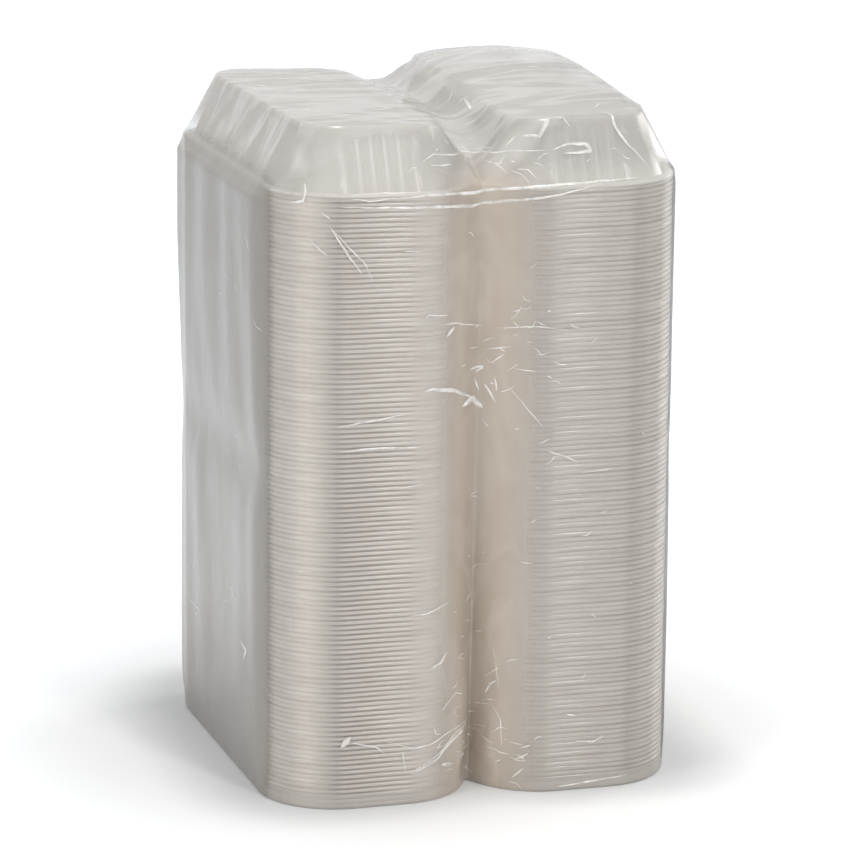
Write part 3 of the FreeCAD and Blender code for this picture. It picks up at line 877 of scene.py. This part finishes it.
def crease_ridge(verts, faces, skin, way, width, line):
    """A thin ridge along a line on the film: a flattened tube with six sides and pointed ends."""
    ways = {FRONT: (0, 2), END: (1, 2), TOP: (0, 1)}[way]
    length = sum(math.dist(before, after) for before, after in zip(line, line[1:]))
    steps = max(4, round(length / CREASE_STEP))
    points = []
    for first, second in even(line, steps) + [line[-1]]:
        bend = 0.0004 * noise.noise(Vector((first * 0.13, second * 0.13, length)))
        start = [-0.6 * share for share in way]
        start[ways[0]], start[ways[1]] = first * MM + bend, second * MM + bend
        place, normal, index, distance = skin.ray_cast(Vector(start), Vector(way))
        if place is not None:
            points.append((place, normal))
    if len(points) < 3:
        return
    first = len(verts)
    for number, (place, normal) in enumerate(points):
        before = points[max(number - 1, 0)][0]
        after = points[min(number + 1, len(points) - 1)][0]
        across = (after - before).cross(normal).normalized()
        share = number / (len(points) - 1)
        half = width * MM / 2 * max(0.08, math.sin(math.pi * share) ** 0.6)
        half *= 1 + 0.35 * noise.noise(place * 160)
        for corner in range(CREASE_SIDES):
            turn = 2 * math.pi * corner / CREASE_SIDES
            aside, out = half * math.cos(turn), 0.45 * half * math.sin(turn)
            verts.append(tuple(place + across * aside + normal * out))
    for number in range(len(points) - 1):
        ring = first + CREASE_SIDES * number
        joined(faces, ring, ring + CREASE_SIDES, CREASE_SIDES)
    faces.append(tuple(reversed(range(first, first + CREASE_SIDES))))
    faces.append(tuple(range(len(verts) - CREASE_SIDES, len(verts))))


skin = BVHTree.FromObject(film, bpy.context.evaluated_depsgraph_get())
verts, faces = [], []
for way, width, line in CREASES:
    crease_ridge(verts, faces, skin, way, width, line)

# Where small creases gather: way, middle, spread, number, longest.
GATHERS = (
    (FRONT, (14, 285), (30, 40), 30, 9),
    (FRONT, (-2, 36), (34, 34), 44, 11),
    (FRONT, (-4, 120), (24, 60), 14, 10),
    (FRONT, (20, 395), (60, 12), 18, 12),
    (FRONT, (50, 150), (60, 130), 14, 8),
    (TOP, (60, -20), (60, 110), 16, 26),
    (TOP, (-64, -20), (70, 120), 10, 24),
    (END, (-50, 300), (60, 90), 8, 16),
    (END, (0, 110), (100, 90), 8, 14),
)
chance = random.Random(11)
for way, (middle_x, middle_z), (spread_x, spread_z), number, longest in GATHERS:
    for crease in range(number):
        x, z = chance.gauss(middle_x, spread_x / 2), chance.gauss(middle_z, spread_z / 2)
        turn, length = chance.uniform(-0.9, 0.9), chance.uniform(2, longest)
        across, up = length * math.cos(turn), length * math.sin(turn)
        bend = chance.uniform(-0.25, 0.25)
        line = ((x, z), (x + across / 2 - up * bend, z + up / 2 + across * bend), (x + across, z + up))
        crease_ridge(verts, faces, skin, way, chance.uniform(0.35, 0.8), line)
creases = mesh_piece("film_creases", verts, faces, 70)

crease_paint = bpy.data.materials.new("crease_film")
crease_paint.use_nodes = True
tree = crease_paint.node_tree
surface = tree.nodes["Principled BSDF"]
# The ridges' near-white colour is partly the crushed film's whitening and partly painted glint.
surface.inputs["Base Color"].default_value = (0.95, 0.945, 0.93, 1)
surface.inputs["Roughness"].default_value = 0.14
surface.inputs["IOR"].default_value = 1.5
place = tree.nodes.new("ShaderNodeTexCoord")
patches = tree.nodes.new("ShaderNodeTexNoise")
patches.inputs["Scale"].default_value = 130.0
patches.inputs["Detail"].default_value = 2.0
whiteness_and_glint = tree.nodes.new("ShaderNodeMapRange")
whiteness_and_glint.inputs["From Min"].default_value = 0.3
whiteness_and_glint.inputs["From Max"].default_value = 0.65
whiteness_and_glint.inputs["To Min"].default_value = 0.45
whiteness_and_glint.inputs["To Max"].default_value = 0.95
tree.links.new(place.outputs["Object"], patches.inputs["Vector"])
tree.links.new(patches.outputs["Fac"], whiteness_and_glint.inputs["Value"])
tree.links.new(whiteness_and_glint.outputs["Result"], surface.inputs["Alpha"])
creases.data.materials.append(crease_paint)
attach(creases, "root")
